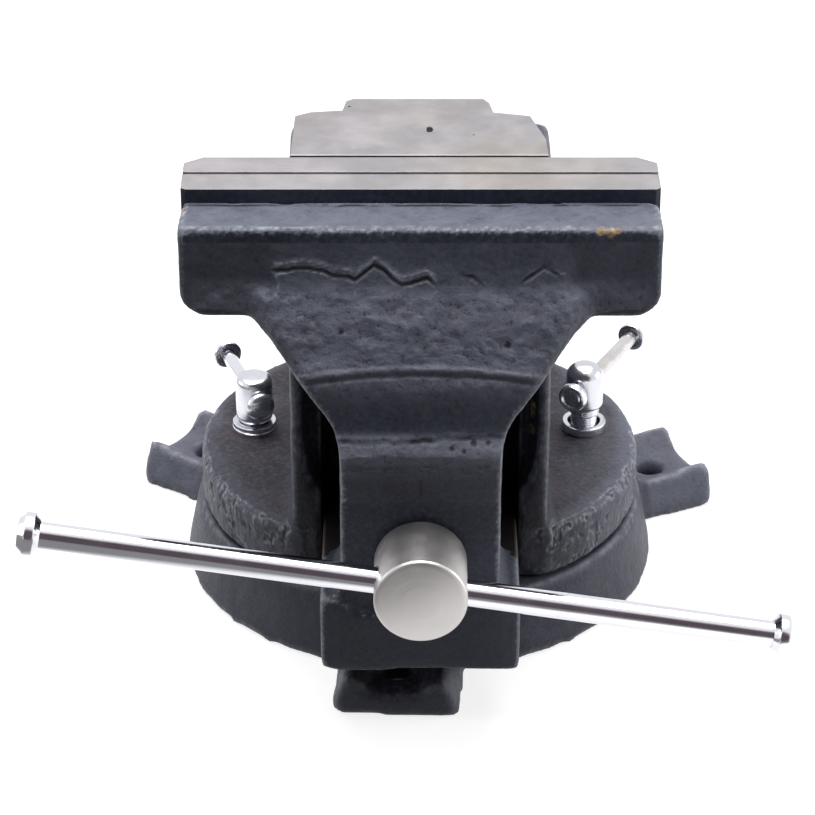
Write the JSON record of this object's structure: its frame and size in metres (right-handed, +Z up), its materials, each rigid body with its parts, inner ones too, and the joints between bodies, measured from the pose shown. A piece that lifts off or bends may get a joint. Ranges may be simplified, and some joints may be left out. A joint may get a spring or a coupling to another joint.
{
  "type": "bench vise",
  "caption": "Heavy cast iron bench vise on a swivel base, with screw-driven sliding jaw, sliding T-handle, steel jaw plates, anvil and two bolts that lock the swivel.",
  "frame": {"origin": "on the bench, under the swivel axis, at the centre of the bolt circle", "axes": "+Z up, +Y towards the back of the vise, so the jaws open towards -Y; X runs along the width of the jaws"},
  "size_m": [0.3278, 0.3386, 0.233],
  "materials": {
    "black_iron": "worn satin black paint on rough sand-cast iron",
    "machined_steel": "ground steel, dull and lightly stained",
    "nickel": "worn satin nickel plate",
    "chrome": "bright chrome plate",
    "dark_steel": "oiled black steel",
    "bronze": "cast bronze"
  },
  "bodies": {
    "base_ring": {"swivel_base": "black_iron"},
    "vise": {"vise_body": "black_iron", "anvil_block": "machined_steel", "fixed_jaw_plate": "machined_steel", "fixed_plate_screw_left": "dark_steel", "fixed_plate_screw_right": "dark_steel", "main_nut": "bronze", "nut_keeper": "dark_steel", "nut_keeper_screw_left": "dark_steel", "nut_keeper_screw_right": "dark_steel", "pivot_bolt": "dark_steel", "pivot_washer": "dark_steel", "lock_washer_left": "chrome", "lock_washer_right": "chrome", "lock_nut_left": "dark_steel", "lock_nut_right": "dark_steel"},
    "moving_jaw": {"movable_jaw": "black_iron", "moving_jaw_plate": "machined_steel", "moving_plate_screw_left": "dark_steel", "moving_plate_screw_right": "dark_steel"},
    "screw_set": {"main_screw": "nickel", "disc_spring": "dark_steel", "screw_collar": "dark_steel", "collar_pin": "dark_steel"},
    "handle": {"handle_bar": "chrome", "handle_cap_left": "chrome", "handle_cap_right": "chrome"},
    "left_lock": {"lock_bolt_left": "chrome"},
    "right_lock": {"lock_bolt_right": "chrome"},
    "left_lock_handle": {"lock_bar_left": "chrome", "lock_knob_left_near": "chrome", "lock_knob_left_far": "chrome"},
    "right_lock_handle": {"lock_bar_right": "chrome", "lock_knob_right_near": "chrome", "lock_knob_right_far": "chrome"}
  },
  "joints": [
    {"name": "swivel", "type": "hinge", "parent": "base_ring", "child": "vise", "pos_m": [0, 0, 0.0334], "axis": [0, 0, 1], "continuous": true},
    {"name": "jaw_slide", "type": "slide", "parent": "vise", "child": "moving_jaw", "axis": [0, -1, 0], "range_m": [0, 0.18]},
    {"name": "screw_turn", "type": "hinge", "parent": "moving_jaw", "child": "screw_set", "pos_m": [0, -0.1706, 0.0834], "axis": [0, -1, 0], "range_deg": [0, 10800]},
    {"name": "handle_slide", "type": "slide", "parent": "screw_set", "child": "handle", "axis": [0.9875, 0, -0.1575], "range_m": [-0.1302, 0.1402]},
    {"name": "left_lock_turn", "type": "hinge", "parent": "vise", "child": "left_lock", "pos_m": [-0.077, 0.0065, 0.0765], "axis": [0, 0, 1], "range_deg": [-25, 165]},
    {"name": "right_lock_turn", "type": "hinge", "parent": "vise", "child": "right_lock", "pos_m": [0.077, 0.0065, 0.0825], "axis": [0, 0, 1], "range_deg": [-155, 30]},
    {"name": "left_lock_bar_slide", "type": "slide", "parent": "left_lock", "child": "left_lock_handle", "axis": [-0.3256, 0.9455, 0], "range_m": [-0.026, 0.0002]},
    {"name": "right_lock_bar_slide", "type": "slide", "parent": "right_lock", "child": "right_lock_handle", "axis": [0.454, 0.891, 0], "range_m": [-0.014, 0.0022]}
  ],
  "couplings": [
    {"joint": "jaw_slide", "follows": "screw_turn", "m_per_rad": 0.00095493}
  ]
}
